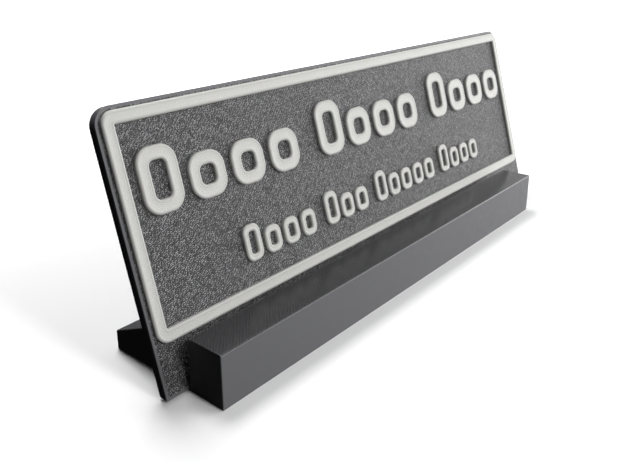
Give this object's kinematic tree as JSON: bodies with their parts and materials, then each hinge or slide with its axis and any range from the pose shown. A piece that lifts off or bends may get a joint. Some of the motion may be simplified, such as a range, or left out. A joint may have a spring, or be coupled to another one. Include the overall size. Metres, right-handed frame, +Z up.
{
  "type": "desk name plate",
  "caption": "Desk name plate: a thin leaning panel with a raised pale border and blank letter frames, standing loose in the open channel of a dark bar-shaped base.",
  "frame": {"origin": "on the desk, under the middle of the panel's width and of the base's depth", "axes": "+X along the panel to the reader's right, +Y to the back, +Z up"},
  "size_m": [0.2, 0.042, 0.0693],
  "materials": {
    "base_plastic": "satin black printed plastic, smooth walls and fine diagonal lines on the top",
    "panel_plastic": "dark printed plastic, front covered by a fine maze of short raised lines",
    "relief_plastic": "off-white printed plastic, finely grained on top"
  },
  "bodies": {
    "base": {"base": "base_plastic"},
    "plate": {"name_panel": "panel_plastic", "border_frame": "relief_plastic", "name_blank_01": "relief_plastic", "name_blank_02": "relief_plastic", "name_blank_03": "relief_plastic", "name_blank_04": "relief_plastic", "name_blank_05": "relief_plastic", "name_blank_06": "relief_plastic", "name_blank_07": "relief_plastic", "name_blank_08": "relief_plastic", "name_blank_09": "relief_plastic", "name_blank_10": "relief_plastic", "name_blank_11": "relief_plastic", "name_blank_12": "relief_plastic", "title_blank_01": "relief_plastic", "title_blank_02": "relief_plastic", "title_blank_03": "relief_plastic", "title_blank_04": "relief_plastic", "title_blank_05": "relief_plastic", "title_blank_06": "relief_plastic", "title_blank_07": "relief_plastic", "title_blank_08": "relief_plastic", "title_blank_09": "relief_plastic", "title_blank_10": "relief_plastic", "title_blank_11": "relief_plastic", "title_blank_12": "relief_plastic", "title_blank_13": "relief_plastic", "title_blank_14": "relief_plastic", "title_blank_15": "relief_plastic", "title_blank_16": "relief_plastic"}
  },
  "joints": [
    {"name": "plate_lift", "type": "slide", "parent": "base", "child": "plate", "axis": [0, 0.2756, 0.9613], "range_m": [0, 0.03]}
  ]
}
